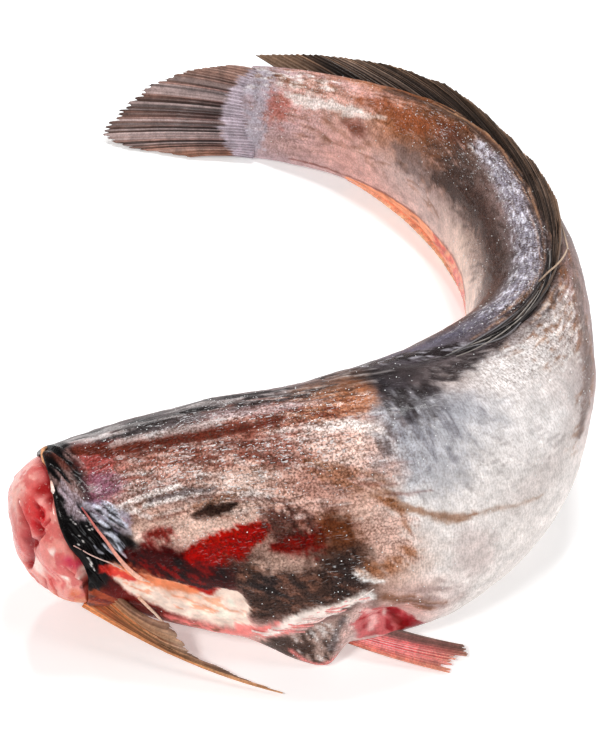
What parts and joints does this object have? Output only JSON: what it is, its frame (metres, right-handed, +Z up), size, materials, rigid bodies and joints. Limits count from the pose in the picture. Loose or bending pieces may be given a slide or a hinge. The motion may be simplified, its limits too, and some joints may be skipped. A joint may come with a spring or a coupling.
{
  "type": "frozen catfish",
  "caption": "Headless frozen catfish curled into a C and lying on its belly, with the cut flesh showing at one end and a fan tail at the other; food.",
  "frame": {"origin": "middle of the footprint, on the surface the fish lies on", "axes": "+X from the cut end towards the bend, +Y from the belly half towards the tail half, +Z up"},
  "size_m": [0.1953, 0.295, 0.0851],
  "materials": {
    "skin": "wet, frosted fish skin, dark brown to pale blue-grey",
    "flesh": "moist raw flesh, salmon pink with dark red creases",
    "fin": "thin ribbed fin, tan rays over dark brown web",
    "frost": "fine white frost grains"
  },
  "bodies": {
    "root": {"catfish": "skin"}
  },
  "joints": []
}
